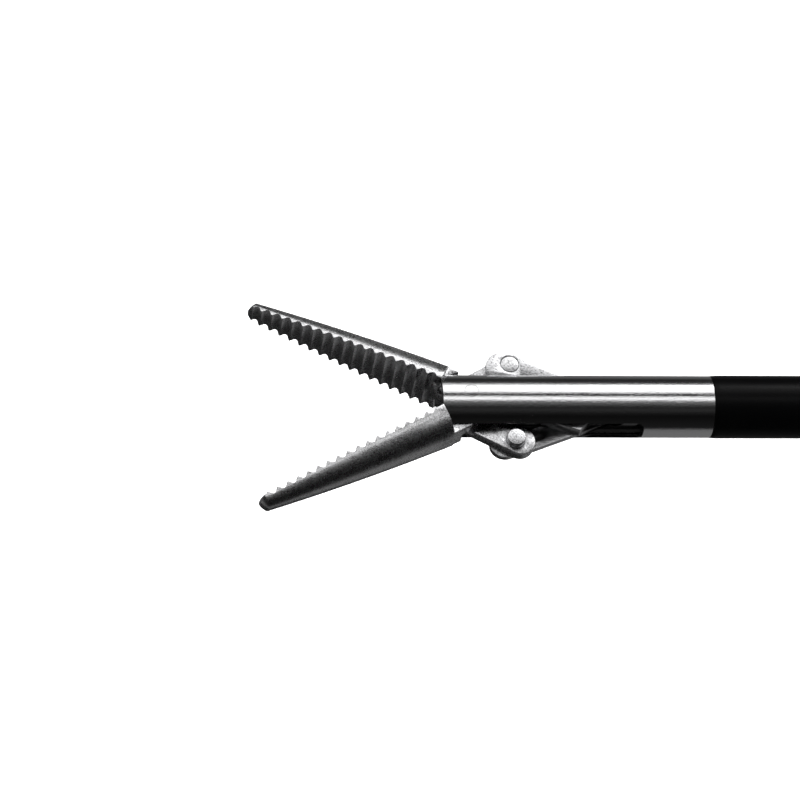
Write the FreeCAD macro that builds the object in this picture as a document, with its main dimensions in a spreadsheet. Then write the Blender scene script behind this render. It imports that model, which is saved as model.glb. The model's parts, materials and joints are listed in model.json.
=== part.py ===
import FreeCAD, Part
import math
import os
import Sketcher

# A 5 mm double-action surgical dissector with a ring handle, in millimetres.
# X runs along the shaft, with the jaw tips toward -X and the handle toward +X. Z is up.
# The origin lies on the shaft's axis, at the front face of the rotation knob.
# The jaws turn about Z at the distal end and stand open, which is the rest position.

SIZES = {
    # Clearances
    "press_gap": 0.02,
    "running_gap": 0.03,
    "layer_gap": 0.04,
    # Jaw housing, measured from the jaw pivot
    "housing_outer": 5.0,
    "housing_bore": 4.2,
    "housing_nose": 2.3,
    "pivot_to_seam": 19.7,
    "slot_height": 2.24,
    "slot_reach": 14.05,
    "slot_corner": 0.6,
    "pivot_diameter": 1.1,
    "shoulder_depth": 0.8,
    "spigot_length": 6.0,
    # Shaft
    "sheath_outer": 5.1,
    "sheath_wall": 0.38,
    "tube_wall": 0.4,
    "shaft_length": 290.0,
    "sheath_seat": 6.0,
    "sheath_collar": 0.9,
    "sheath_lead": 0.55,
    "tube_seat": 6.0,
    # Jaw blades, measured from the jaw pivot
    "jaw_opening": 27.0,
    "blade_length": 19.35,
    "blade_rear": 2.65,
    "blade_base_radius": 2.42,
    "blade_tip_radius": 1.0,
    "blade_bow": 240.0,
    "tip_length": 0.4,
    "tip_cut": 0.2,
    "tooth_first": 3.36,
    "tooth_pitch": 0.898,
    "tooth_count": 18,
    "tooth_depth": 0.34,
    "tooth_flank": 40.0,
    "valley_radius": 0.24,
    "mesh_depth": 0.16,
    # Jaw necks, bosses and tails
    "lap_radius": 2.7,
    "neck_thickness": 2.04,
    "neck_edge": 2.05,
    "neck_heel": 1.1,
    "neck_root": 0.35,
    "boss_radius": 1.5,
    "boss_height": 1.35,
    "tail_thickness": 0.96,
    "tail_shoulder": 2.2,
    "tail_pin_radius": 4.89,
    "tail_pin_angle": 16.4,
    "tail_lobe_radius": 1.19,
    "tail_lobe_shift": 0.34,
    # Links and rivets
    "link_length": 9.2,
    "link_width": 1.74,
    "link_thickness": 0.5,
    "link_lobe_radius": 1.2,
    "link_lobe_shift": 0.62,
    "link_lobe_drop": 0.45,
    "link_eye_radius": 1.2,
    "rivet_diameter": 1.5,
    "rivet_length": 2.1,
    "open_pivot_gap": 0.25,
    "pin_break": 0.06,
    # Pull rod and its head
    "head_pin_diameter": 1.0,
    "head_nose": 6.85,
    "head_nose_width": 2.58,
    "head_crest": 3.25,
    "head_crest_width": 4.9,
    "head_waist": 2.15,
    "head_waist_width": 2.6,
    "hub_start": 1.45,
    "hub_length": 3.2,
    "hub_diameter": 3.4,
    "hub_root": 0.5,
    "hub_edge": 0.4,
    "rod_diameter": 2.0,
    "rod_clearance": 0.7,
    "rod_seat": 2.4,
    "sleeve_wall": 0.3,
    "sleeve_margin": 4.0,
    "ball_diameter": 4.4,
    # Rotation knob and the hub in it
    "knob_length": 24.0,
    "knob_diameter": 24.0,
    "nose_length": 10.0,
    "nose_diameter": 12.4,
    "nose_round": 1.2,
    "nose_taper": 0.7,
    "knob_edge": 2.0,
    "knob_shoulder": 4.0,
    "knob_cove": 5.6,
    "flute_count": 10,
    "flute_radius": 2.6,
    "flute_depth": 1.2,
    "ferrule_diameter": 8.0,
    "neck_diameter": 7.0,
    "neck_length": 12.0,
    "clip_gap": 1.0,
    "clip_thickness": 1.0,
    "clip_depth": 0.5,
    "clip_diameter": 10.2,
    "seal_length": 2.3,
    "retainer_gap": 0.4,
    "port_place": 5.0,
    "port_diameter": 5.8,
    "port_bore": 4.2,
    "port_height": 15.0,
    "port_foot": 3.2,
    "port_floor": 3.0,
    "port_taper": 0.25,
    "lug_height": 2.0,
    "lug_width": 0.7,
    "cap_diameter": 7.4,
    "cap_thickness": 3.2,
    "cap_plug": 4.0,
    "cap_gap": 0.15,
    "cap_edge": 0.8,
    # Handle
    "handle_gap": 1.0,
    "bearing_length": 7.0,
    "bearing_wall": 1.5,
    "bearing_flange": 1.4,
    "bearing_gap": 0.2,
    "shell_thickness": 9.0,
    "loop_thickness": 5.0,
    "body_top": 10.5,
    "body_length": 39.0,
    "body_floor": 14.0,
    "body_edge": 3.5,
    "body_corner": 5.0,
    "body_front": 9.0,
    "belly_radius": 60.0,
    "back_radius": 30.0,
    "heel_length": 15.0,
    "heel_drop": 6.0,
    "stern_length": 4.0,
    "stern_rise": 2.0,
    "shoulder_drop": 10.0,
    "shoulder_radius": 12.0,
    "loop_place": 5.0,
    "loop_radius": 12.0,
    "loop_rim": 5.0,
    "loop_upper": 34.0,
    "loop_lower": 58.0,
    "loop_edge": 2.0,
    "loop_root": 1.0,
    "loop_front_sweep": 24.0,
    "loop_back_sweep": 40.0,
    "loop_back_root": 9.0,
    "slot_gap": 0.2,
    "cavity_top": 5.2,
    "cavity_front": 7.1,
    "cavity_back": 8.0,
    "cavity_reach": 16.0,
    "cavity_drop": 6.0,
    "cavity_wall": 2.0,
    "cavity_knee": 1.0,
    "chamber_depth": 4.3,
    "chamber_diameter": 11.2,
    "rod_passage": 3.6,
    "screw_diameter": 3.0,
    "screw_head": 5.2,
    "screw_head_height": 1.6,
    "screw_seat": 4.4,
    "screw_tip": 5.0,
    "screw_socket": 1.0,
    "screw_margin": 0.7,
    "front_screw_x": 4.5,
    "front_screw_z": 9.24,
    "rear_screw_x": 7.5,
    "rear_screw_z": 5.5,
    "loop_screw_angle": 46.0,
    "pin_place": 12.7,
    "pin_foot": 3.5,
    "pin_diameter": 4.0,
    "pin_top": 28.0,
    "pin_round": 1.0,
    "pin_shank": 3.0,
    "collar_diameter": 9.0,
    "collar_foot": 8.5,
    "collar_top": 17.0,
    "collar_step": 2.0,
    "collar_taper": 0.6,
    "brush_diameter": 2.4,
    # Thumb lever
    "lever_place": 21.0,
    "lever_arm": 7.0,
    "lever_thickness": 6.0,
    "hub_radius": 6.0,
    "arm_under_sweep": 160.0,
    "arm_upper_sweep": 80.0,
    "arm_root": 0.5,
    "arm_upper_root": 3.0,
    "fork_foot": 2.0,
    "fork_length": 9.5,
    "fork_rise": 3.0,
    "pocket_gap": 0.1,
    "pocket_floor": 0.3,
    "rod_slot_gap": 0.2,
    "rod_slot_floor": 2.0,
    "thumb_x": 41.0,
    "thumb_z": 57.0,
    "thumb_radius": 11.5,
    "thumb_straight": 6.0,
    "thumb_rim": 5.0,
    "thumb_thickness": 10.0,
    "thumb_edge": 2.0,
    "bush_wall": 1.0,
    "pivot_screw_diameter": 4.0,
    "pivot_head_diameter": 8.0,
    "pivot_head_height": 1.9,
    "pivot_head_seat": 7.5,
    "pivot_head_edge": 0.5,
    "pivot_socket": 1.0,
    "liner_wall": 1.5,
    "liner_width": 9.0,
}


class Size:
    """A length or angle that holds its value and the sheet expression that gives it."""

    def __init__(self, value, text):
        self.value = value
        self.text = text

    def __add__(self, other):
        return Size(self.value + number(other), f"({self.text} + {text(other)})")

    def __radd__(self, other):
        return self + other

    def __sub__(self, other):
        return Size(self.value - number(other), f"({self.text} - {text(other)})")

    def __rsub__(self, other):
        return -self + other

    def __mul__(self, other):
        return Size(self.value * number(other), f"{self.text} * {text(other)}")

    def __rmul__(self, other):
        return self * other

    def __truediv__(self, other):
        return Size(self.value / number(other), f"{self.text} / {text(other)}")

    def __neg__(self):
        return Size(-self.value, f"(-1 * {self.text})")


def number(size):
    return size.value if isinstance(size, Size) else float(size)


def text(size):
    return size.text if isinstance(size, Size) else repr(float(size))


def sine(angle):
    return Size(math.sin(math.radians(number(angle))), f"sin({text(angle)})")


def cosine(angle):
    return Size(math.cos(math.radians(number(angle))), f"cos({text(angle)})")


def root(size):
    return Size(math.sqrt(number(size)), f"sqrt({text(size)})")


def leg(long_side, side):
    """The other leg of a right triangle."""
    return root(long_side * long_side - side * side)


class Sheet:
    """The driving dimensions, read as attributes."""

    def __init__(self, document, sizes):
        sheet = document.addObject("Spreadsheet::Sheet", "sizes")
        for row, (name, value) in enumerate(sizes.items(), start=1):
            sheet.set(f"A{row}", name)
            sheet.set(f"B{row}", str(value))
            sheet.setAlias(f"B{row}", name)
            setattr(self, name, Size(float(value), f"sizes.{name}"))


doc = FreeCAD.newDocument("surgical_dissector")
S = Sheet(doc, SIZES)
doc.recompute()

# Places and sizes that several pieces share
PIVOT_X = -(S.shaft_length + S.pivot_to_seam)
SHEATH_BORE = S.sheath_outer - 2 * S.sheath_wall
TUBE_OUTER = SHEATH_BORE - 2 * S.press_gap
TUBE_BORE = TUBE_OUTER - 2 * S.tube_wall
TUBE_END = S.knob_length + S.tube_seat
SPIGOT_OUTER = TUBE_BORE - 2 * S.press_gap
ROD_BORE = S.rod_diameter + S.rod_clearance
CREST = S.mesh_depth / 2
LAP = S.layer_gap / 2
VALLEY_RUN = S.valley_radius * cosine(S.tooth_flank)
VALLEY_FLOOR = CREST - S.tooth_depth + S.valley_radius * (1 - sine(S.tooth_flank))
VALLEY_HALF = VALLEY_RUN + (CREST - VALLEY_FLOOR) * sine(S.tooth_flank) / cosine(S.tooth_flank)
PIN_X = S.tail_pin_radius * cosine(S.tail_pin_angle)
PIN_Y = S.tail_pin_radius * sine(S.tail_pin_angle)
OPEN_PIN_X = S.tail_pin_radius * cosine(S.tail_pin_angle + S.jaw_opening)
OPEN_PIN_Y = S.tail_pin_radius * sine(S.tail_pin_angle + S.jaw_opening)
HEAD_OPEN = OPEN_PIN_X + leg(S.link_length, OPEN_PIN_Y)
HEAD_SHUT = PIN_X + leg(S.link_length, PIN_Y)
TRAVEL = HEAD_SHUT - HEAD_OPEN
LINK_FOOT = S.tail_thickness / 2 + S.layer_gap
HANDLE_X = S.knob_length + S.handle_gap
CLIP_X = HANDLE_X + S.bearing_length + S.clip_gap
LOOP_X = HANDLE_X + S.loop_place
PLUG_X = HANDLE_X + S.pin_place
LEVER_X = HANDLE_X + S.lever_place
BALL_X = LEVER_X - TRAVEL / 2
LEVER_SWING = 2 * math.degrees(math.asin(number(TRAVEL) / 2 / number(S.lever_arm)))


def bind(thing, name, size):
    thing.setExpression(name, text(size))


def new_body(label, x=0, y=0, z=0, axis=(0, 0, 1), turn=0):
    body = doc.addObject("PartDesign::Body", label)
    body.Label = label
    body.Placement = FreeCAD.Placement(
        FreeCAD.Vector(number(x), number(y), number(z)),
        FreeCAD.Rotation(FreeCAD.Vector(*axis), number(turn)),
    )
    bind(body, "Placement.Base.x", x)
    bind(body, "Placement.Base.y", y)
    bind(body, "Placement.Base.z", z)
    return body


def origin_part(body, role):
    return next(item for item in body.Origin.OriginFeatures if item.Role == role)


def new_sketch(body, role, name, lift=0):
    sketch = body.newObject("Sketcher::SketchObject", name)
    sketch.AttachmentSupport = [(origin_part(body, role), "")]
    sketch.MapMode = "FlatFace"
    bind(sketch, "AttachmentOffset.Base.z", lift)
    return sketch


def measure(sketch, kind, geometry, place, size):
    """Ties one coordinate of a point to its size."""
    axis = {"DistanceX": -2, "DistanceY": -1}[kind]
    value = number(size)
    if abs(value) < 1e-9:
        sketch.addConstraint(Sketcher.Constraint("PointOnObject", geometry, place, axis))
        return
    if value > 0:
        ends = (-1, 1, geometry, place)
    else:
        ends = (geometry, place, -1, 1)
    index = sketch.addConstraint(Sketcher.Constraint(kind, *ends, abs(value)))
    if isinstance(size, Size):
        bind(sketch, f"Constraints[{index}]", size if value > 0 else -size)


def arc_between(start, end, radius):
    """The shorter arc from start to end, turning left where the radius is positive."""
    half = (end - start) / 2
    size = abs(radius)
    rise = math.sqrt(max(size * size - half.Length**2, 0.0))
    normal = FreeCAD.Vector(-half.y, half.x, 0).normalize()
    centre = start + half + normal * math.copysign(rise, radius)
    first, last = (start, end) if radius > 0 else (end, start)
    angles = [math.atan2(point.y - centre.y, point.x - centre.x) for point in (first, last)]
    circle = Part.Circle(centre, FreeCAD.Vector(0, 0, 1), size)
    return Part.ArcOfCircle(circle, *angles)


def draw_outline(sketch, corners):
    """A closed outline. A corner (x, y, r) is reached by an arc of radius r, left-turning if r > 0."""
    points = [FreeCAD.Vector(number(corner[0]), number(corner[1]), 0) for corner in corners]
    pieces = []
    for index, start in enumerate(points):
        following = (index + 1) % len(points)
        end = points[following]
        if len(corners[following]) == 3:
            radius = corners[following][2]
            piece = sketch.addGeometry(arc_between(start, end, number(radius)), False)
            first, last = (1, 2) if number(radius) > 0 else (2, 1)
        else:
            piece = sketch.addGeometry(Part.LineSegment(start, end), False)
            first, last = 1, 2
        pieces.append((piece, first, last))
    for index, (piece, first, last) in enumerate(pieces):
        following = pieces[(index + 1) % len(pieces)]
        sketch.addConstraint(Sketcher.Constraint("Coincident", piece, last, following[0], following[1]))
        measure(sketch, "DistanceX", piece, first, corners[index][0])
        measure(sketch, "DistanceY", piece, first, corners[index][1])


def draw_circle(sketch, x, y, radius):
    centre = FreeCAD.Vector(number(x), number(y), 0)
    circle = Part.Circle(centre, FreeCAD.Vector(0, 0, 1), number(radius))
    piece = sketch.addGeometry(circle, False)
    measure(sketch, "DistanceX", piece, 3, x)
    measure(sketch, "DistanceY", piece, 3, y)
    index = sketch.addConstraint(Sketcher.Constraint("Radius", piece, number(radius)))
    bind(sketch, f"Constraints[{index}]", radius)


def feature(body, kind, sketch, **settings):
    item = body.newObject("PartDesign::" + kind, kind)
    item.Profile = sketch
    for name, setting in settings.items():
        if isinstance(setting, Size):
            bind(item, name, setting)
        else:
            setattr(item, name, setting)
    doc.recompute()
    return item


def pad(body, sketch, length, **settings):
    return feature(body, "Pad", sketch, Length=length, **settings)


def cut_through(body, sketch):
    return feature(body, "Pocket", sketch, Type="ThroughAll", Type2="ThroughAll", SideType="Two sides")


def spin(body, sketch, axis="H_Axis", kind="Revolution", **settings):
    return feature(body, kind, sketch, ReferenceAxis=(sketch, [axis]), **settings)


def round_edges(body, base, radius, chosen):
    """Rounds the edges of the base feature that the test picks."""
    names = [f"Edge{place}" for place, edge in enumerate(base.Shape.Edges, start=1) if chosen(edge)]
    item = body.newObject("PartDesign::Fillet", "Fillet")
    item.Base = (base, names)
    bind(item, "Radius", radius)
    doc.recompute()
    return item


def edge_at(edge, height, axis):
    """True where the whole edge lies at one height along an axis."""
    box = edge.BoundBox
    low, high = {"y": (box.YMin, box.YMax), "z": (box.ZMin, box.ZMax)}[axis]
    return abs(low - height) < 1e-4 and abs(high - height) < 1e-4


def turned(label, corners, **place):
    """A piece turned about its own X axis from a half profile of (x, radius) corners."""
    body = new_body(label, **place)
    sketch = new_sketch(body, "XY_Plane", "profile")
    draw_outline(sketch, corners)
    spin(body, sketch, Angle=360.0)
    return body


def insulating_sheath():
    """Sleeve dressed down to the steel in front, with a formed collar that holds it in the knob."""
    outer = S.sheath_outer / 2
    collar = outer + S.sheath_collar / 2
    return turned("insulating_sheath", [
        (-S.shaft_length, SHEATH_BORE / 2),
        (S.sheath_seat, SHEATH_BORE / 2),
        (S.sheath_seat, collar),
        (0, collar),
        (0, outer),
        (S.sheath_lead - S.shaft_length, outer),
        (-S.shaft_length, S.housing_outer / 2),
    ])


def ring(label, start, end, inner, outer, **place):
    """A plain turned ring or sleeve, given by its ends and its two diameters."""
    corners = [(start, inner / 2), (end, inner / 2), (end, outer / 2), (start, outer / 2)]
    return turned(label, corners, **place)


UPRIGHT = {"axis": (0, 1, 0), "turn": -90}
CROSSWISE = {"axis": (0, 0, 1), "turn": 90}


def jaw_housing():
    """Tube with a slot on either side for the jaws' tails, and a spigot for the shaft tube."""
    outer = S.housing_outer / 2
    seam = S.pivot_to_seam
    shoulder = seam - S.shoulder_depth
    corners = [
        (-S.housing_nose, S.housing_bore / 2),
        (shoulder, S.housing_bore / 2),
        (shoulder, ROD_BORE / 2),
        (seam + S.spigot_length, ROD_BORE / 2),
        (seam + S.spigot_length, SPIGOT_OUTER / 2),
        (seam, SPIGOT_OUTER / 2),
        (seam, outer),
        (-S.housing_nose, outer),
    ]
    body = turned("jaw_housing", corners, x=PIVOT_X)
    half = S.slot_height / 2
    corner = S.slot_corner
    mouth = -S.housing_nose - 1
    slot = new_sketch(body, "XZ_Plane", "slot")
    draw_outline(slot, [
        (mouth, -half),
        (S.slot_reach - corner, -half),
        (S.slot_reach, corner - half, corner),
        (S.slot_reach, half - corner),
        (S.slot_reach - corner, half, corner),
        (mouth, half),
    ])
    cut_through(body, slot)
    hole = new_sketch(body, "XY_Plane", "pin_hole")
    draw_circle(hole, 0, 0, S.pivot_diameter / 2 + S.press_gap)
    cut_through(body, hole)
    return body


def jaw_pivot_pin():
    """Pin across the housing, ground to the curve of the tube at both ends."""
    pin = doc.addObject("Part::Cylinder", "pin_blank")
    tube = doc.addObject("Part::Cylinder", "pin_limit")
    bind(pin, "Radius", S.pivot_diameter / 2)
    bind(pin, "Height", S.housing_outer * 2)
    bind(pin, "Placement.Base.z", -S.housing_outer)
    bind(tube, "Radius", S.housing_outer / 2)
    bind(tube, "Height", S.housing_outer * 2)
    tube.Placement = FreeCAD.Placement(
        FreeCAD.Vector(-number(S.housing_outer), 0, 0), FreeCAD.Rotation(FreeCAD.Vector(0, 1, 0), 90)
    )
    bind(tube, "Placement.Base.x", -S.housing_outer)
    flush = doc.addObject("Part::Common", "jaw_pivot_pin")
    flush.Label = "jaw_pivot_pin"
    flush.Base = pin
    flush.Tool = tube
    bind(flush, "Placement.Base.x", PIVOT_X)
    return flush


def jaw_blade(body):
    """Half-round blade, bowed and tapered to a blunt tip. Its flat face lies one crest past the mid plane."""
    shoulder = S.blade_length - S.tip_length
    dome = (S.tip_length * S.tip_length + S.blade_tip_radius * S.blade_tip_radius) / S.tip_length / 2
    sketch = new_sketch(body, "XY_Plane", "blade")
    draw_outline(sketch, [
        (-S.blade_rear, CREST),
        (-S.blade_rear, CREST - S.blade_base_radius),
        (-shoulder, CREST - S.blade_tip_radius, -S.blade_bow),
        (-S.blade_length, CREST, -dome),
    ])
    axis = sketch.addGeometry(Part.LineSegment(
        FreeCAD.Vector(0, number(CREST), 0), FreeCAD.Vector(-1, number(CREST), 0)), True)
    sketch.addConstraint(Sketcher.Constraint("Horizontal", axis))
    measure(sketch, "DistanceY", axis, 1, CREST)
    measure(sketch, "DistanceX", axis, 1, 0)
    measure(sketch, "DistanceX", axis, 2, -1)
    spin(body, sketch, axis="Axis0", Angle=180.0, Midplane=True)


def jaw_relief(body):
    """Hollows the blade's rear face to a sphere, which clears the housing's nose at every angle."""
    foot = S.neck_thickness / 2 + S.press_gap
    reach = root(S.housing_nose * S.housing_nose + S.housing_outer * S.housing_outer / 4) + 2 * S.running_gap
    sketch = new_sketch(body, "XZ_Plane", "relief")
    for side in (1, -1):
        draw_outline(sketch, [
            (0, side * foot),
            (leg(reach, foot), side * foot),
            (0, side * reach, side * reach),
        ])
    spin(body, sketch, axis="V_Axis", kind="Groove", Angle=360.0)


def jaw_crank(body):
    """Neck, boss and crossed tail. The halves of the two jaws lap over each other at the pivot."""
    neck = new_sketch(body, "XY_Plane", "neck")
    draw_outline(neck, [
        (-S.blade_rear - S.neck_root, -LAP),
        (-S.blade_rear - S.neck_root, -S.neck_edge),
        (-S.neck_heel, -S.neck_edge),
        (S.boss_radius / 5, -0.95 * S.boss_radius),
        (0, -LAP),
    ])
    pad(body, neck, S.neck_thickness, SideType="Symmetric")
    lobe_x = PIN_X + S.tail_lobe_shift
    lobe_y = S.tail_lobe_radius + 1.5 * S.layer_gap
    tail = new_sketch(body, "XY_Plane", "tail")
    draw_outline(tail, [
        (0, 1.5 * S.layer_gap),
        (lobe_x, 1.5 * S.layer_gap),
        (lobe_x + S.tail_lobe_radius, lobe_y, S.tail_lobe_radius),
        (lobe_x, lobe_y + S.tail_lobe_radius, S.tail_lobe_radius),
        (0.3 * S.boss_radius, S.tail_shoulder),
        (-0.54 * S.boss_radius, 0.83 * S.boss_radius),
    ])
    pad(body, tail, S.tail_thickness, SideType="Symmetric")
    lap = new_sketch(body, "XY_Plane", "lap", lift=LAP)
    draw_circle(lap, 0, 0, S.lap_radius)
    feature(body, "Pocket", lap, Length=S.neck_thickness)
    boss = new_sketch(body, "XY_Plane", "boss", lift=LAP)
    draw_circle(boss, 0, 0, S.boss_radius)
    pad(body, boss, S.boss_height - LAP)
    holes = new_sketch(body, "XY_Plane", "holes")
    draw_circle(holes, 0, 0, S.pivot_diameter / 2 + S.running_gap)
    draw_circle(holes, PIN_X, PIN_Y, S.rivet_diameter / 2 + S.running_gap)
    cut_through(body, holes)


def jaw_lands(body):
    """Lowers the flat face before the first crest and past the last, so the jaws shut on the teeth."""
    crest_half = S.tooth_pitch / 2 - VALLEY_HALF
    last = S.tooth_first + (S.tooth_count - 1) * S.tooth_pitch
    sketch = new_sketch(body, "XY_Plane", "lands")
    for start, end in ((S.tooth_first - crest_half, S.blade_rear), (S.blade_length + S.tip_cut, last + crest_half)):
        draw_outline(sketch, [(-start, -LAP), (-end, -LAP), (-end, 2 * CREST), (-start, 2 * CREST)])
    cut_through(body, sketch)


def jaw_teeth(body, first, count):
    """Round-bottomed valleys with sloping flanks, cut straight across the flat face at an even pitch."""
    sketch = new_sketch(body, "XY_Plane", "valley")
    draw_outline(sketch, [
        (-first - VALLEY_HALF, 3 * CREST),
        (-first - VALLEY_HALF, CREST),
        (-first - VALLEY_RUN, VALLEY_FLOOR),
        (VALLEY_RUN - first, VALLEY_FLOOR, S.valley_radius),
        (VALLEY_HALF - first, CREST),
        (VALLEY_HALF - first, 3 * CREST),
    ])
    valley = cut_through(body, sketch)
    row = body.newObject("PartDesign::LinearPattern", "teeth")
    row.Originals = [valley]
    row.Direction = (origin_part(body, "X_Axis"), [""])
    row.Reversed = True
    bind(row, "Length", (count - 1) * S.tooth_pitch)
    bind(row, "Occurrences", count)
    body.Tip = row
    doc.recompute()


def jaw(label, side):
    """One jaw, drawn shut. The two are the same part turned over, with their teeth half a pitch apart."""
    body = new_body(label, x=PIVOT_X)
    shut = FreeCAD.Rotation(FreeCAD.Vector(1, 0, 0), 0 if side > 0 else 180)
    swing = FreeCAD.Rotation(FreeCAD.Vector(0, 0, 1), side * number(S.jaw_opening))
    body.Placement.Rotation = swing.multiply(shut)
    jaw_blade(body)
    jaw_relief(body)
    jaw_crank(body)
    jaw_lands(body)
    if side > 0:
        jaw_teeth(body, S.tooth_first + S.tooth_pitch / 2, S.tooth_count - 1)
    else:
        jaw_teeth(body, S.tooth_first, S.tooth_count)
    return body


def linkage_turn(side):
    """Direction of a link from its rivet to the head pin."""
    lean = math.degrees(math.asin(number(OPEN_PIN_Y) / number(S.link_length)))
    over = FreeCAD.Rotation(FreeCAD.Vector(1, 0, 0), 0 if side > 0 else 180)
    swing = FreeCAD.Rotation(FreeCAD.Vector(0, 0, 1), -side * lean)
    return swing.multiply(over)


def link(label, side):
    """Flat link with a lobe that hangs inward of the rivet, and an eye with play round the head pin."""
    body = new_body(label, x=PIVOT_X + OPEN_PIN_X, y=side * OPEN_PIN_Y)
    body.Placement.Rotation = linkage_turn(side)
    half = S.link_width / 2
    lobe = S.link_lobe_radius
    eye_join = S.link_length - leg(S.link_eye_radius, half)
    plan = new_sketch(body, "XY_Plane", "plan", lift=LINK_FOOT)
    draw_outline(plan, [
        (lobe, -half),
        (eye_join, -half),
        (S.link_length + S.link_eye_radius, 0, S.link_eye_radius),
        (eye_join, half, S.link_eye_radius),
        (lobe / 2, half),
        (-S.link_lobe_shift, lobe - S.link_lobe_drop),
        (-S.link_lobe_shift - lobe, -S.link_lobe_drop, lobe),
        (-S.link_lobe_shift, -S.link_lobe_drop - lobe, lobe),
    ])
    pad(body, plan, S.link_thickness)
    holes = new_sketch(body, "XY_Plane", "holes")
    draw_circle(holes, 0, 0, S.rivet_diameter / 2 + S.press_gap)
    draw_circle(holes, S.link_length, 0, S.head_pin_diameter / 2 + S.open_pivot_gap)
    cut_through(body, holes)
    return body


def cross_pin(label, diameter, length, x, y=0):
    """Plain pin along Z with lightly broken edges, centred on the mid plane."""
    radius = diameter / 2
    half = length / 2
    broken = S.pin_break
    corners = [
        (-half, 0),
        (half, 0),
        (half, radius - broken),
        (half - broken, radius),
        (broken - half, radius),
        (-half, radius - broken),
    ]
    return turned(label, corners, x=x, y=y, **UPRIGHT)


def pull_rod_head():
    """Guide plate that runs in the housing's slots, with a hub for the rod."""
    body = new_body("pull_rod_head", x=PIVOT_X + HEAD_OPEN)
    nose = S.head_nose_width / 2
    crest = S.head_crest_width / 2
    waist = S.head_waist_width / 2
    hub = S.hub_start + S.hub_root
    plan = new_sketch(body, "XY_Plane", "plan")
    draw_outline(plan, [
        (-S.head_nose, -nose),
        (-S.head_crest, -crest),
        (-S.head_waist, -waist),
        (hub, -waist),
        (hub, waist),
        (-S.head_waist, waist),
        (-S.head_crest, crest),
        (-S.head_nose, nose),
    ])
    pad(body, plan, S.tail_thickness, SideType="Symmetric")
    profile = new_sketch(body, "XY_Plane", "hub")
    radius = S.hub_diameter / 2
    end = S.hub_start + S.hub_length
    draw_outline(profile, [
        (S.hub_start, 0),
        (end, 0),
        (end, radius - S.hub_edge),
        (end - S.hub_edge, radius),
        (S.hub_start + 2 * S.hub_edge, radius),
        (S.hub_start, radius - 2 * S.hub_edge),
    ])
    spin(body, profile, Angle=360.0)
    socket = new_sketch(body, "XY_Plane", "socket")
    draw_outline(socket, [
        (end - S.rod_seat, 0),
        (end + 1, 0),
        (end + 1, S.rod_diameter / 2 + S.press_gap),
        (end - S.rod_seat, S.rod_diameter / 2 + S.press_gap),
    ])
    spin(body, socket, kind="Groove", Angle=360.0)
    hole = new_sketch(body, "XY_Plane", "pin_hole")
    draw_circle(hole, 0, 0, S.head_pin_diameter / 2 + S.press_gap)
    cut_through(body, hole)
    return body


def pull_rod():
    front = PIVOT_X + HEAD_OPEN + S.hub_start + S.hub_length - S.rod_seat
    radius = S.rod_diameter / 2
    rear = BALL_X + leg(S.ball_diameter / 2, radius)
    return turned("pull_rod", [(front, 0), (rear, 0), (rear, radius), (front, radius)])


def rod_sleeve():
    inner = S.rod_diameter + 2 * S.press_gap
    front = S.sleeve_margin + S.spigot_length - S.shaft_length
    rear = TUBE_END - S.sleeve_margin
    return ring("rod_sleeve", front, rear, inner, inner + 2 * S.sleeve_wall)


def rod_ball():
    radius = S.ball_diameter / 2
    bore = S.rod_diameter / 2 + S.press_gap
    edge = leg(radius, bore)
    return turned("rod_ball", [(-edge, bore, radius), (edge, bore)], x=BALL_X)


def rotation_knob():
    """Fluted grip with a nose round the sheath and a pocket for the hub."""
    sheath = S.sheath_outer / 2 + S.sheath_collar / 2 + S.press_gap
    tube = TUBE_OUTER / 2 + S.press_gap
    hub = S.ferrule_diameter / 2 + S.press_gap
    nose = S.nose_diameter / 2
    grip = S.knob_diameter / 2
    body = turned("rotation_knob", [
        (0, sheath),
        (S.sheath_seat, sheath),
        (S.sheath_seat, tube),
        (S.nose_length, tube),
        (S.nose_length, hub),
        (S.knob_length, hub),
        (S.knob_length, grip - S.knob_edge),
        (S.knob_length - S.knob_edge, grip, S.knob_edge),
        (S.nose_length + S.knob_shoulder, grip),
        (S.nose_length, nose + S.nose_taper, S.knob_cove),
        (S.nose_round, nose - S.nose_taper),
        (0, nose - S.nose_taper - S.nose_round, S.nose_round),
    ])
    flute = new_sketch(body, "YZ_Plane", "flute", lift=S.nose_length + 1)
    draw_circle(flute, 0, grip + S.flute_radius - S.flute_depth, S.flute_radius)
    cut = feature(body, "Pocket", flute, Type="ThroughAll", Reversed=True)
    around = body.newObject("PartDesign::PolarPattern", "flutes")
    around.Originals = [cut]
    around.Axis = (origin_part(body, "X_Axis"), [""])
    around.Angle = 360
    bind(around, "Occurrences", S.flute_count)
    body.Tip = around
    doc.recompute()
    seat = new_sketch(body, "XY_Plane", "port_seat", lift=S.port_foot)
    draw_circle(seat, S.port_place, 0, S.port_diameter / 2 + S.press_gap)
    feature(body, "Pocket", seat, Length=S.nose_diameter, Reversed=True)
    return body


def shaft_ferrule():
    """Steel hub that joins the tube to the knob. Its neck turns in the handle."""
    bore = TUBE_OUTER / 2 + S.press_gap
    hub = S.ferrule_diameter / 2
    neck = S.neck_diameter / 2
    end = S.knob_length + S.neck_length
    groove = CLIP_X + S.clip_thickness + 2 * S.press_gap
    return turned("shaft_ferrule", [
        (S.nose_length, bore),
        (end, bore),
        (end, neck),
        (groove, neck),
        (groove, neck - S.clip_depth),
        (CLIP_X, neck - S.clip_depth),
        (CLIP_X, neck),
        (S.knob_length, neck),
        (S.knob_length, hub),
        (S.nose_length, hub),
    ])


def retaining_ring():
    start = CLIP_X + S.press_gap
    inner = S.neck_diameter - 2 * S.clip_depth + 2 * S.press_gap
    return ring("retaining_ring", start, start + S.clip_thickness, inner, S.clip_diameter)


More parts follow.
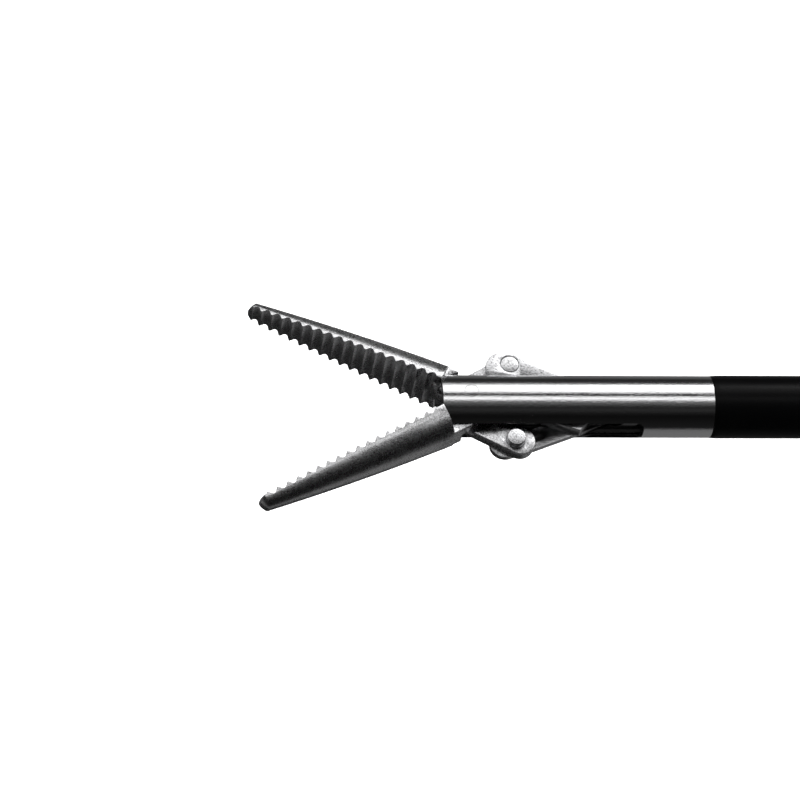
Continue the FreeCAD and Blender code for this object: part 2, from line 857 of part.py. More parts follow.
def rod_seal():
    start = TUBE_END + S.press_gap
    return ring("rod_seal", start, start + S.seal_length, S.rod_diameter + 2 * S.running_gap, TUBE_OUTER)


def seal_retainer():
    start = TUBE_END + S.seal_length + 2 * S.press_gap
    end = S.knob_length + S.neck_length
    return ring("seal_retainer", start, end, S.rod_diameter + S.retainer_gap, TUBE_OUTER)


def flush_port():
    """Luer port for cleaning, standing on the knob's nose."""
    radius = S.port_diameter / 2
    bore = S.port_bore / 2
    return turned("flush_port", [
        (S.port_foot, 0),
        (S.port_foot, radius),
        (S.port_height - S.lug_height, radius),
        (S.port_height - S.lug_height, radius + S.lug_width),
        (S.port_height, radius + S.lug_width),
        (S.port_height, bore),
        (S.port_foot + S.port_floor, bore - S.port_taper),
        (S.port_foot + S.port_floor, 0),
    ], x=S.port_place, **UPRIGHT)


def flush_cap():
    radius = S.cap_diameter / 2
    plug = S.port_bore / 2 - S.cap_gap
    top = S.port_height + S.cap_thickness
    return turned("flush_cap", [
        (S.port_height - S.cap_plug, 0),
        (S.port_height - S.cap_plug, plug - S.port_taper),
        (S.port_height, plug),
        (S.port_height, radius),
        (top - S.cap_edge, radius),
        (top, radius - S.cap_edge, S.cap_edge),
        (top, 0),
    ], x=S.port_place, **UPRIGHT)


def knob_bearing():
    """Flanged bush in the handle, in which the hub's neck turns."""
    bore = S.neck_diameter / 2 + S.running_gap
    outer = bore + S.bearing_wall
    flange = S.knob_length + S.bearing_gap
    return turned("knob_bearing", [
        (flange, bore),
        (HANDLE_X + S.bearing_length, bore),
        (HANDLE_X + S.bearing_length, outer),
        (HANDLE_X, outer),
        (HANDLE_X, outer + S.bearing_flange),
        (flange, outer + S.bearing_flange),
    ])


def stadium(x, low, high, radius):
    """Corners of an upright loop with round ends."""
    return [
        (x - radius, low),
        (x, low - radius, radius),
        (x + radius, low, radius),
        (x + radius, high),
        (x, high + radius, radius),
        (x - radius, high, radius),
    ]


def shell_bores(body):
    """Bores for the bearing, the clip and the rod."""
    bearing = S.neck_diameter / 2 + S.running_gap + S.bearing_wall + S.press_gap
    step = HANDLE_X + S.bearing_length
    chamber = step + S.chamber_depth
    profile = new_sketch(body, "XZ_Plane", "bores")
    draw_outline(profile, [
        (HANDLE_X - 1, 0),
        (LEVER_X, 0),
        (LEVER_X, S.rod_passage / 2),
        (chamber, S.rod_passage / 2),
        (chamber, S.chamber_diameter / 2),
        (step, S.chamber_diameter / 2),
        (step, bearing),
        (HANDLE_X - 1, bearing),
    ])
    spin(body, profile, kind="Groove", Angle=360.0)


def shell_cavity(body, outward):
    """Pocket for the lever, open behind and below."""
    front = LEVER_X - S.cavity_front
    back = LEVER_X + S.cavity_back
    behind = LOOP_X + S.loop_radius + S.loop_rim + S.slot_gap
    floor = S.cavity_wall - S.body_floor
    sketch = new_sketch(body, "XZ_Plane", "cavity")
    draw_outline(sketch, [
        (front, S.cavity_top),
        (front, floor),
        (behind, -S.loop_upper),
        (behind, -S.loop_upper - S.cavity_drop),
        (back + S.cavity_reach, -S.loop_upper - S.cavity_drop),
        (back + S.cavity_reach, floor),
        (back, -S.cavity_knee),
        (back, S.cavity_top),
    ])
    feature(body, "Pocket", sketch, Length=S.lever_thickness / 2 + S.slot_gap, Reversed=outward < 0)


def screw_places():
    """The three shell screws, as (x, z). The third stands clear of the finger loop."""
    reach = S.loop_radius + S.screw_head / 2 + S.screw_margin
    angle = S.loop_screw_angle
    return [
        (HANDLE_X + S.front_screw_x, -S.front_screw_z),
        (HANDLE_X + S.body_length - S.rear_screw_x, S.body_top - S.rear_screw_z),
        (LOOP_X + reach * cosine(angle), reach * sine(angle) - S.loop_upper),
    ]


def shell_holes(body, outward):
    """Holes along Y for the screws and the lever's pivot, and seats for what stands on top."""
    holes = new_sketch(body, "XZ_Plane", "holes")
    for x, z in screw_places():
        draw_circle(holes, x, z, S.screw_diameter / 2 + S.press_gap)
    draw_circle(holes, LEVER_X, -S.lever_arm, S.pivot_screw_diameter / 2 + S.press_gap)
    if outward > 0:
        cut_through(body, holes)
    else:
        feature(body, "Pocket", holes, Length=S.screw_tip + S.press_gap, Reversed=True)
        pivot = new_sketch(body, "XZ_Plane", "pivot_hole")
        draw_circle(pivot, LEVER_X, -S.lever_arm, S.pivot_screw_diameter / 2 + S.press_gap)
        cut_through(body, pivot)
    head = new_sketch(body, "XZ_Plane", "head_seat", lift=-outward * S.pivot_head_seat)
    draw_circle(head, LEVER_X, -S.lever_arm, S.pivot_head_diameter / 2 + 2 * S.press_gap)
    feature(body, "Pocket", head, Type="ThroughAll", Reversed=outward < 0)
    if outward > 0:
        seats = new_sketch(body, "XZ_Plane", "screw_seats", lift=-S.screw_seat)
        for x, z in screw_places():
            draw_circle(seats, x, z, S.screw_head / 2 + S.press_gap)
        feature(body, "Pocket", seats, Type="ThroughAll")
    wells = (
        ("brush_well", 0, S.brush_diameter),
        ("pin_well", S.pin_foot, S.pin_shank),
        ("collar_well", S.collar_foot, S.collar_diameter),
    )
    for name, foot, diameter in wells:
        well = new_sketch(body, "XY_Plane", name, lift=foot)
        draw_circle(well, PLUG_X, 0, diameter / 2 + S.press_gap)
        feature(body, "Pocket", well, Type="ThroughAll", Reversed=True)


def handle_shell(label, outward):
    """One half of the handle, on the +Y side where outward is 1."""
    body = new_body(label)
    rear = HANDLE_X + S.body_length
    right = LOOP_X + S.loop_radius + S.loop_rim
    left = LOOP_X - S.loop_radius - S.loop_rim
    barrel = new_sketch(body, "XZ_Plane", "barrel")
    draw_outline(barrel, [
        (HANDLE_X, S.body_corner - S.body_floor),
        (HANDLE_X + S.body_corner, -S.body_floor, S.body_corner),
        (rear - S.heel_length, -S.body_floor - S.heel_drop, S.belly_radius),
        (rear - S.stern_length, S.stern_rise - S.body_floor, S.back_radius),
        (rear, S.body_top - S.shoulder_drop, S.back_radius),
        (rear - S.shoulder_drop, S.body_top, S.shoulder_radius),
        (HANDLE_X, S.body_front),
    ])
    base = pad(body, barrel, S.shell_thickness, Reversed=outward > 0)
    face = outward * number(S.shell_thickness)
    base = round_edges(body, base, S.body_edge, lambda edge: edge_at(edge, face, "y"))
    loop = new_sketch(body, "XZ_Plane", "loop")
    rim = S.loop_radius + S.loop_rim
    draw_outline(loop, [
        (HANDLE_X + S.loop_root, S.loop_root - S.body_floor),
        (left, -S.loop_upper, S.loop_front_sweep),
        (left, -S.loop_lower),
        (LOOP_X, -S.loop_lower - rim, rim),
        (right, -S.loop_lower, rim),
        (right, -S.loop_upper),
        (rear - S.loop_back_root, S.body_corner - S.body_floor, -S.loop_back_sweep),
    ])
    base = pad(body, loop, S.loop_thickness, Reversed=outward > 0)
    opening = new_sketch(body, "XZ_Plane", "opening")
    draw_outline(opening, stadium(LOOP_X, -S.loop_lower, -S.loop_upper, S.loop_radius))
    base = cut_through(body, opening)
    side = outward * number(S.loop_thickness)
    below = -number(S.body_floor + S.heel_drop) - 1
    round_edges(
        body, base, S.loop_edge, lambda edge: edge_at(edge, side, "y") and edge.BoundBox.ZMin < below
    )
    shell_bores(body)
    shell_cavity(body, outward)
    shell_holes(body, outward)
    return body


def handle_screws():
    """Three alike, each with its head sunk in the right shell."""
    heads = []
    for place, (x, z) in enumerate(screw_places(), start=1):
        shank = doc.addObject("Part::Cylinder", f"screw_shank_{place}")
        head = doc.addObject("Part::Cylinder", f"screw_head_{place}")
        socket = doc.addObject("Part::Prism", f"screw_socket_{place}")
        bind(shank, "Radius", S.screw_diameter / 2)
        bind(shank, "Height", S.screw_seat + S.screw_tip)
        bind(head, "Radius", S.screw_head / 2)
        bind(head, "Height", S.screw_head_height)
        socket.Polygon = 6
        bind(socket, "Circumradius", S.screw_head / 4)
        bind(socket, "Height", S.screw_head_height)
        floor = S.screw_seat + S.screw_head_height - S.screw_socket
        for piece, y in ((shank, -S.screw_tip), (head, S.screw_seat), (socket, floor)):
            piece.Placement.Rotation = FreeCAD.Rotation(FreeCAD.Vector(1, 0, 0), -90)
            bind(piece, "Placement.Base.x", x)
            bind(piece, "Placement.Base.y", y)
            bind(piece, "Placement.Base.z", z)
        whole = doc.addObject("Part::Fuse", f"screw_{place}")
        whole.Base = shank
        whole.Tool = head
        screw = doc.addObject("Part::Cut", f"screw_cut_{place}")
        screw.Base = whole
        screw.Tool = socket
        heads.append(screw)
    group = doc.addObject("Part::Compound", "handle_screws")
    group.Label = "handle_screws"
    group.Links = heads
    return group


def pivot_screw():
    """Shouldered screw on which the lever turns."""
    shank = S.pivot_screw_diameter / 2
    head = S.pivot_head_diameter / 2
    top = S.pivot_head_seat + S.pivot_head_height
    end = S.pivot_head_seat + S.pivot_head_height / 2
    return turned("lever_pivot_screw", [
        (-end, 0),
        (-end, shank),
        (S.pivot_head_seat, shank),
        (S.pivot_head_seat, head),
        (top - S.pivot_head_edge, head),
        (top, head - S.pivot_head_edge, S.pivot_head_edge),
        (top, shank / 2),
        (top - S.pivot_socket, shank / 2),
        (top - S.pivot_socket, 0),
    ], x=LEVER_X, z=-S.lever_arm, **CROSSWISE)


def pivot_nut():
    """Round nut sunk in the left shell."""
    shank = S.pivot_screw_diameter / 2 + S.press_gap
    head = S.pivot_head_diameter / 2
    top = S.pivot_head_seat + S.pivot_head_height
    return turned("lever_pivot_nut", [
        (-top, shank),
        (-top, head - S.pivot_head_edge),
        (S.pivot_head_edge - top, head, -S.pivot_head_edge),
        (-S.pivot_head_seat, head),
        (-S.pivot_head_seat, shank),
    ], x=LEVER_X, z=-S.lever_arm, **CROSSWISE)


def connector_pin():
    """Plug pin for the diathermy lead."""
    radius = S.pin_diameter / 2
    shank = S.pin_shank / 2
    return turned("connector_pin", [
        (S.pin_foot + S.press_gap, 0),
        (S.pin_foot + S.press_gap, shank),
        (S.collar_top + S.press_gap, shank),
        (S.collar_top + S.press_gap, radius),
        (S.pin_top - S.pin_round, radius),
        (S.pin_top, radius - S.pin_round, S.pin_round),
        (S.pin_top, 0),
    ], x=PLUG_X, **UPRIGHT)


def connector_collar():
    radius = S.collar_diameter / 2
    bore = S.pin_shank / 2 + S.press_gap
    return turned("connector_collar", [
        (S.collar_foot + S.press_gap, bore),
        (S.collar_foot + S.press_gap, radius),
        (S.body_top + S.collar_step, radius),
        (S.collar_top - S.pin_round, radius - S.collar_taper),
        (S.collar_top, radius - S.collar_taper - S.pin_round, S.pin_round),
        (S.collar_top, bore),
    ], x=PLUG_X, **UPRIGHT)


def contact_brush():
    """Brush that carries current from the plug pin to the sliding rod."""
    low = S.rod_diameter / 2 + S.running_gap
    radius = S.brush_diameter / 2
    corners = [(low, 0), (S.pin_foot, 0), (S.pin_foot, radius), (low, radius)]
    return turned("contact_brush", corners, x=PLUG_X, **UPRIGHT)


def loop_liner(label, x, z, low, high, radius, turn):
    """Soft band inside a ring of the handle."""
    body = new_body(label, x=x, z=z, axis=(0, 1, 0), turn=turn)
    plan = new_sketch(body, "XZ_Plane", "plan")
    draw_outline(plan, stadium(0, low, high, radius - S.press_gap))
    base = pad(body, plan, S.liner_width, SideType="Symmetric")
    opening = new_sketch(body, "XZ_Plane", "opening")
    draw_outline(opening, stadium(0, low, high, radius - S.liner_wall))
    cut_through(body, opening)
    return body


def thumb_lever():
    """Lever with a fork for the rod's ball above the pivot and the thumb ring below it."""
    body = new_body(
        "thumb_lever", x=LEVER_X, z=-S.lever_arm, axis=(0, 1, 0), turn=-LEVER_SWING / 2
    )
    rim = S.thumb_radius + S.thumb_rim
    low = -S.thumb_z - S.thumb_straight / 2
    high = S.thumb_straight / 2 - S.thumb_z
    ring_plan = new_sketch(body, "XZ_Plane", "ring")
    draw_outline(ring_plan, stadium(S.thumb_x, low, high, rim))
    base = pad(body, ring_plan, S.thumb_thickness, SideType="Symmetric")
    face = number(S.thumb_thickness) / 2
    round_edges(body, base, S.thumb_edge, lambda edge: edge_at(edge, face, "y") or edge_at(edge, -face, "y"))
    arm = new_sketch(body, "XZ_Plane", "arm")
    fork = S.fork_length / 2
    hub = S.hub_radius
    draw_outline(arm, [
        (-fork, 0),
        (-0.7 * hub, -0.714 * hub, hub),
        (S.thumb_x - rim + S.arm_root, low, -S.arm_under_sweep),
        (S.thumb_x, low),
        (S.thumb_x + S.arm_upper_root, high + rim - 2 * S.arm_root),
        (hub, -0.5 * hub, -S.arm_upper_sweep),
        (fork, S.lever_arm - S.fork_foot),
        (fork, S.lever_arm + S.fork_rise),
        (-fork, S.lever_arm + S.fork_rise),
    ])
    pad(body, arm, S.lever_thickness, SideType="Symmetric")
    opening = new_sketch(body, "XZ_Plane", "opening")
    draw_outline(opening, stadium(S.thumb_x, low, high, S.thumb_radius))
    cut_through(body, opening)
    bore = new_sketch(body, "XZ_Plane", "bore")
    draw_circle(bore, 0, 0, S.pivot_screw_diameter / 2 + S.running_gap + S.bush_wall + S.press_gap)
    cut_through(body, bore)
    ball = S.ball_diameter / 2
    pocket = new_sketch(body, "XY_Plane", "ball_pocket", lift=S.lever_arm - ball - S.pocket_floor)
    reach = ball + S.pocket_gap
    draw_outline(pocket, [(-reach, -reach), (reach, -reach), (reach, reach), (-reach, reach)])
    feature(body, "Pocket", pocket, Type="ThroughAll", Reversed=True)
    slot = new_sketch(body, "XY_Plane", "rod_slot", lift=S.lever_arm - S.rod_slot_floor)
    half = S.rod_diameter / 2 + S.rod_slot_gap
    draw_outline(slot, [(-fork - 1, -half), (0, -half), (0, half), (-fork - 1, half)])
    feature(body, "Pocket", slot, Type="ThroughAll", Reversed=True)
    return body


def lever_bush():
    inner = S.pivot_screw_diameter + 2 * S.running_gap
    half = S.lever_thickness / 2
    return ring(
        "lever_bush", -half, half, inner, inner + 2 * S.bush_wall,
        x=LEVER_X, z=-S.lever_arm, **CROSSWISE
    )


def thumb_liner():
    """The thumb ring's liner, placed by the lever's turn about its pivot."""
    angle = math.radians(-LEVER_SWING / 2)
    x = number(S.thumb_x) * math.cos(angle) - number(S.thumb_z) * math.sin(angle)
    z = -number(S.thumb_x) * math.sin(angle) - number(S.thumb_z) * math.cos(angle)
    half = S.thumb_straight / 2
    return loop_liner(
        "thumb_ring_liner", LEVER_X + x, z - S.lever_arm, -half, half, S.thumb_radius, -LEVER_SWING / 2
    )


def finger_liner():
    half = (S.loop_lower - S.loop_upper) / 2
    centre = -(S.loop_lower + S.loop_upper) / 2
    return loop_liner("finger_loop_liner", LOOP_X, centre, -half, half, S.loop_radius, 0)


pieces = [
    jaw_housing(),
    jaw_pivot_pin(),
    ring("shaft_tube", -S.shaft_length, TUBE_END, TUBE_BORE, TUBE_OUTER),
    insulating_sheath(),
    rotation_knob(),
    shaft_ferrule(),
    retaining_ring(),
    rod_seal(),
    seal_retainer(),
    flush_port(),
    flush_cap(),
    jaw("jaw_left", 1),
    jaw("jaw_right", -1),
    link("link_left", 1),
    link("link_right", -1),
    cross_pin("rivet_left", S.rivet_diameter, S.rivet_length, PIVOT_X + OPEN_PIN_X, OPEN_PIN_Y),
    cross_pin("rivet_right", S.rivet_diameter, S.rivet_length, PIVOT_X + OPEN_PIN_X, -OPEN_PIN_Y),
    pull_rod_head(),
    cross_pin("rod_head_pin", S.head_pin_diameter, S.rivet_length, PIVOT_X + HEAD_OPEN),
    pull_rod(),
    rod_sleeve(),
    rod_ball(),
    handle_shell("handle_shell_left", -1),
    handle_shell("handle_shell_right", 1),
    handle_screws(),
    knob_bearing(),
    pivot_screw(),
    pivot_nut(),
    connector_pin(),
    connector_collar(),
    contact_brush(),
    finger_liner(),
    thumb_lever(),
    lever_bush(),
    thumb_liner(),
]
doc.recompute()

for item in doc.Objects:
    if "Invalid" in item.State or "Error" in item.State:
        raise RuntimeError(f"{item.Label} did not build: {item.State}")
os.makedirs("parts", exist_ok=True)
for piece in pieces:
    if piece.Shape.isNull() or not piece.Shape.isValid():
        raise RuntimeError(f"{piece.Label} has no valid shape")
    piece.Shape.exportStep(f"parts/{piece.Label}.step")
print(f"{len(pieces)} pieces, rod travel {number(TRAVEL):.3f} mm, lever swing {LEVER_SWING:.2f} degrees")
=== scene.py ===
import json
import math

import bmesh
import bpy
from mathutils import Matrix, Vector


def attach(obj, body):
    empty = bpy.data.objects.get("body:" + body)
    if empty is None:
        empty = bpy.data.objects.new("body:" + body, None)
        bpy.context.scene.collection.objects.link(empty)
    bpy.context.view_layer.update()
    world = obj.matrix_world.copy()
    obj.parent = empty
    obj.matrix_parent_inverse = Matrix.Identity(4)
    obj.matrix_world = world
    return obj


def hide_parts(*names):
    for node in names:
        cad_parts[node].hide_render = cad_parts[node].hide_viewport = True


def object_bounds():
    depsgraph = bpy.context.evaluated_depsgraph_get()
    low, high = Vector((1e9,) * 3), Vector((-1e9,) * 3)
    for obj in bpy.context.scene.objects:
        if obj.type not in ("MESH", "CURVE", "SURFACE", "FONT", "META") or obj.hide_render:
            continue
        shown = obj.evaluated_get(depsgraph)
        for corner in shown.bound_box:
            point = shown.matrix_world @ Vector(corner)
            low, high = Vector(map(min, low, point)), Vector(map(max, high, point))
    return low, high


bl_info = {
    "name": "Surgical dissector",
    "version": (1, 0, 0),
    "blender": (4, 5, 0),
    "location": "3D View > Sidebar > Dissector",
    "description": "Finishes the steel, plastic and rubber pieces of a 5 mm surgical dissector",
    "category": "Object",
}

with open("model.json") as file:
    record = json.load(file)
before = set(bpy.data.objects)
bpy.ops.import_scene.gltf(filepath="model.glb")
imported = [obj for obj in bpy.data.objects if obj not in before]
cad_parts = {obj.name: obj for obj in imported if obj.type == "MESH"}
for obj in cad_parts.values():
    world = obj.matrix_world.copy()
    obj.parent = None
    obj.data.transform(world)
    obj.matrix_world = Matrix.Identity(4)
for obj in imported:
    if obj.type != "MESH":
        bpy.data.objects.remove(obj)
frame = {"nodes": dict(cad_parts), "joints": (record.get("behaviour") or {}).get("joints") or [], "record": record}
CAD_BOX = [list(corner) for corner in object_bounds()]
BODY_OF = {node: body for body, nodes in frame["record"]["behaviour"]["bodies"].items() for node in nodes}
SLOT_OF = {row["node"]: row["material_slot"] for row in frame["record"]["subparts"]}
TENT_LENGTH = 1.5
TENT_RADIUS = 0.3
TENT_PEAK = 1.6
TENT_STRIPS = (
    (-180, 0.015), (-174, 0.06), (-152, 0.16), (-129, 0.16), (-85, 0.17), (-54, 0.17),
    (-36, 0.15), (-27, 0.012), (26, 0.004), (37, 0.012), (48, 0.03), (58, 0.014),
    (66, 0.06), (72, 0.12), (81, 0.2), (85, 1.1), (91, 1.5), (96, 1.1),
    (99, 0.01), (109, 0.01), (112, 0.8), (117, 1.3), (123, 1.6), (130, 1.6),
    (142, 1.4), (150, 0.6), (157, 0.06), (166, 0.03), (180, 0.015),
)
JAW_PIVOT = next(joint["pos_m"] for joint in frame["joints"] if joint["name"] == "jaw_left_pivot")

# The steels: where one finish passes into the next, where the shade painted into the bore stops, how dark that
# painted shade is, and the size of the grain
TAIL_FROM = (-0.0030, -0.0022)
BORE_SHOULDER = (0.00215, 0.00235)
PLAIN_TUBE_FROM = (0.022, 0.024)
BORE_PAINTED_SHADE = 0.04
PIT_SIZE = 0.00014
PATCH_SIZE = 0.0009

# The bevel and the normals of turned surfaces
WELD = 0.000002
FLAT = math.radians(0.5)
SHARP = math.radians(32)
CREASE = math.radians(40)
SURFACE_TOLERANCE = 0.00006
SURFACE_FACING = 0.96

# The stage. The card and the strip are placed from the jaw pivot along X.
CARD_SIZE = (0.14, 0.15)
CARD_PLACE = (-0.04, -0.01)
CARD_LEVEL = 0.02
STRIP_ANGLE = math.radians(138)
STRIP_REACH = 0.28
STRIP_START = 0.068
STRIP_SIZE = (0.5, 0.05)
STRIP_LEVEL = 7.0
FLOOR_SIZE = 6.0
FLOOR_DROP = 0.0002
FLOOR_SHADE = 0.8
FLOOR_GLOW = 0.76
TENT_DROP = 0.0001
LAMP_LENGTH = 1.0
KEY_WIDTH = 0.28
KEY_PLACE = (0.3, 0.4)
TOP_WIDTH = 0.1
TOP_PLACE = (-0.1, 0.55)
CLIP_START = 0.01
CLIP_END = 50.0

# Shader nodes


class Wire:
    """An output socket of a shader tree. Arithmetic on it adds Math nodes."""

    def __init__(self, tree, socket):
        self.tree = tree
        self.socket = socket

    def math(self, operation, other):
        sockets = {"Value": self, "Value_001": other}
        return self.tree.add("Math", {"operation": operation}, **sockets)

    def __add__(self, other):
        return self.math("ADD", other)

    __radd__ = __add__

    def __mul__(self, other):
        return self.math("MULTIPLY", other)

    def __truediv__(self, other):
        return self.math("DIVIDE", other)

    def __pow__(self, other):
        return self.math("POWER", other)

    def between(self, low, high):
        """0 below the first value, 1 above the second, smooth from one to the other."""
        sockets = {"Value": self, "From Min": low, "From Max": high}
        return self.tree.add("MapRange", {"interpolation_type": "SMOOTHSTEP"}, **sockets)


class Tree:
    """A shader tree that is being built."""

    def __init__(self, owner):
        owner.use_nodes = True
        self.nodes = owner.node_tree.nodes
        self.links = owner.node_tree.links
        self.nodes.clear()

    def add(self, kind, settings=None, output=0, **sockets):
        """Adds a node, sets it up, gives its sockets values or links, and returns one output."""
        node = self.nodes.new("ShaderNode" + kind)
        for name, setting in (settings or {}).items():
            if name == "stops":
                elements = node.color_ramp.elements
                while len(elements) < len(setting):
                    elements.new(1.0)
                for element, (place, level) in zip(elements, setting):
                    element.position = place
                    element.color = (level, level, level, 1.0)
            else:
                setattr(node, name, setting)
        for name, value in sockets.items():
            socket = next(item for item in node.inputs if name in (item.identifier, item.name))
            if isinstance(value, Wire):
                self.links.new(value.socket, socket)
            else:
                socket.default_value = value
        if not node.outputs:
            return None
        found = [item for item in node.outputs if output in (item.identifier, item.name)]
        return Wire(self, found[0] if found else node.outputs[output])

    def place(self, centre=(0, 0, 0), scale=(1, 1, 1)):
        """Object coordinates, centred and scaled."""
        here = self.add("TexCoord", output="Object")
        moved = self.add("VectorMath", {"operation": "SUBTRACT"}, Vector=here, Vector_001=centre)
        return self.add("VectorMath", {"operation": "MULTIPLY"}, Vector=moved, Vector_001=scale)

    def grain(self, size, stretch=(1, 1, 1), detail=2.0, roughness=0.5):
        """Noise whose features are about the given size, in metres."""
        scale = [1 / (size * factor) for factor in stretch]
        return self.add(
            "TexNoise", output="Fac", Vector=self.place(scale=scale),
            Scale=1.0, Detail=detail, Roughness=roughness,
        )

    def shade(self, factor, dark, light):
        """A colour that runs from dark to light with the factor."""
        return self.add(
            "Mix", {"data_type": "RGBA"}, output="Result_Color",
            Factor_Float=factor, A_Color=(*dark, 1.0), B_Color=(*light, 1.0),
        )

    def bump(self, height, depth):
        return self.add("Bump", Height=height, Distance=depth, Strength=1.0)

    def surface(self, **sockets):
        shader = self.add("BsdfPrincipled", **sockets)
        self.add("OutputMaterial", Surface=shader)


def new_finish(name):
    material = bpy.data.materials.new(name)
    return material, Tree(material)


def times(colour, factor):
    return [part * factor for part in colour]


def finishes():
    return bpy.context.scene.dissector_finish


# Finishes


def jaw_steel():
    """Satin blades. The tails behind the housing's nose are as they were wire cut."""
    material, tree = new_finish("jaw_steel")
    steel = finishes().jaw_colour
    bead = tree.grain(PIT_SIZE, detail=3.0, roughness=0.65)
    patch = tree.grain(PATCH_SIZE, detail=4.0, roughness=0.65)
    along = tree.add("SeparateXYZ", output="X", Vector=tree.place(centre=JAW_PIVOT))
    tail = along.between(*TAIL_FROM)
    speckle = (bead * 0.65 + patch * 0.35).between(0.38, 0.6)
    blade = tree.shade(speckle, times(steel, 0.68), times(steel, 1.1))
    wire_cut = finishes().link_colour
    cut = tree.shade(bead.between(0.36, 0.6), times(wire_cut, 0.5), times(wire_cut, 1.1))
    colour = tree.add(
        "Mix", {"data_type": "RGBA"}, output="Result_Color",
        Factor_Float=tail, A_Color=blade, B_Color=cut,
    )
    tree.surface(
        **{"Base Color": colour}, Metallic=1.0, Roughness=0.19 + patch * 0.1 + bead * 0.08,
        Normal=tree.bump(bead + patch * 0.5, 0.000012),
    )
    return material


def link_steel():
    """Wire-cut links and ground rivets, bright and speckled with pits."""
    material, tree = new_finish("link_steel")
    steel = finishes().link_colour
    pit = tree.grain(PIT_SIZE, detail=4.0, roughness=0.65)
    patch = tree.grain(PATCH_SIZE, detail=2.0)
    tree.surface(
        **{"Base Color": tree.shade(pit.between(0.34, 0.5), times(steel, 0.45), times(steel, 0.94))},
        Metallic=1.0, Roughness=0.14 + patch * 0.15,
        Normal=tree.bump(pit + patch * 0.3, 0.000012),
    )
    return material


def polished_steel():
    """Drawn and polished tube, with faint scratches along it. Dark shade is painted into the colour of the bore by
    the jaws.
    """
    material, tree = new_finish("polished_steel")
    steel = finishes().tube_colour
    draw = tree.grain(0.00004, stretch=(40, 1, 1), detail=3.0, roughness=0.6)
    speck = tree.grain(0.00018, stretch=(1.6, 1, 1), detail=3.0, roughness=0.7)
    haze = tree.grain(0.0016, stretch=(2, 1, 1), detail=3.0)
    here = tree.place()
    along = tree.add("SeparateXYZ", output="X", Vector=here)
    across = tree.add("SeparateXYZ", output="Y", Vector=here)
    upward = tree.add("SeparateXYZ", output="Z", Vector=here)
    # Painted shade: inside the bore's shoulder, and nearer the jaws than the plain tube, the colour is darkened to
    # stand for the shade in the bore
    off_axis = (across * across + upward * upward) ** 0.5
    shaft_side = along.between(*(JAW_PIVOT[0] + distance for distance in PLAIN_TUBE_FROM))
    outside = off_axis.between(*BORE_SHOULDER)
    unshaded = outside.math("MAXIMUM", shaft_side)
    bright = tree.shade(draw * 0.6 + speck * 0.4, times(steel, 0.82), steel)
    colour = tree.add(
        "Mix", {"data_type": "RGBA"}, output="Result_Color",
        Factor_Float=unshaded, A_Color=(*times(steel, BORE_PAINTED_SHADE), 1.0), B_Color=bright,
    )
    tree.surface(
        **{"Base Color": colour}, Metallic=1.0, Roughness=0.05 + draw * 0.06 + haze * 0.05,
        Normal=tree.bump(draw * 0.5 + speck, 0.000007),
    )
    return material


def plain_moulding(name, colour, grain_size, roughness, depth, gloss=0.5):
    """Moulded or extruded stock with a fine skin."""
    material, tree = new_finish(name)
    skin = tree.grain(grain_size, detail=3.0, roughness=0.6)
    cloud = tree.grain(grain_size * 24, detail=2.0)
    tree.surface(
        **{
            "Base Color": tree.shade(skin * 0.5 + cloud * 0.5, times(colour, 0.8), times(colour, 1.2)),
            "Specular IOR Level": gloss,
        },
        Roughness=roughness - 0.05 + cloud * 0.1,
        Normal=tree.bump(skin, depth),
    )
    return material


def brass():
    material, tree = new_finish("brass")
    turned = tree.grain(0.00008, stretch=(1, 1, 0.3), detail=2.0)
    gold = finishes().brass_colour
    tree.surface(
        **{"Base Color": tree.shade(turned, times(gold, 0.82), gold)},
        Metallic=1.0, Roughness=0.22 + turned * 0.14,
    )
    return material


def make_finishes():
    """One material for each slot of the record, marked with the slot's name."""
    look = finishes()
    made = {
        "jaw_steel": jaw_steel(),
        "link_steel": link_steel(),
        "polished_steel": polished_steel(),
        "brass": brass(),
        "insulation": plain_moulding(
            "insulation", look.sheath_colour, 0.0003, 0.3, 0.000004, gloss=0.06
        ),
        "white_polymer": plain_moulding("white_polymer", look.nylon_colour, 0.0004, 0.5, 0.000006),
        "seal_rubber": plain_moulding("seal_rubber", look.seal_colour, 0.0003, 0.6, 0.00001),
        "knob_plastic": plain_moulding("knob_plastic", look.knob_colour, 0.00035, 0.36, 0.000008),
        "handle_plastic": plain_moulding("handle_plastic", look.handle_colour, 0.00045, 0.46, 0.00002),
        "liner_rubber": plain_moulding("liner_rubber", look.liner_colour, 0.0004, 0.68, 0.00003),
    }
    for slot, material in made.items():
        material["finish_for"] = slot
    return made


# Pieces


def finish_of(slot):
    """The finish that was made for a slot of the record."""
    return next(made for made in bpy.data.materials if made.get("finish_for") == slot)


def carry_over(*nodes):
    """Nodes whose shape is right get their finish and keep their mesh."""
    for node in nodes:
        frame["nodes"][node].material_slots[0].material = finish_of(SLOT_OF[node])


def round_normals(data, radius):
    """Gives the corners on a turned surface round the shaft's axis their exact normals."""
    normals = []
    for face in data.polygons:
        for corner in face.loop_indices:
            point = data.vertices[data.loops[corner].vertex_index].co
            outward = Vector((0, point.y, point.z))
            on_surface = abs(outward.length - radius) < SURFACE_TOLERANCE
            if on_surface and face.normal.dot(outward.normalized()) > SURFACE_FACING:
                normals.append(outward.normalized())
            else:
                normals.append(data.corner_normals[corner].vector.copy())
    data.normals_split_custom_set(normals)


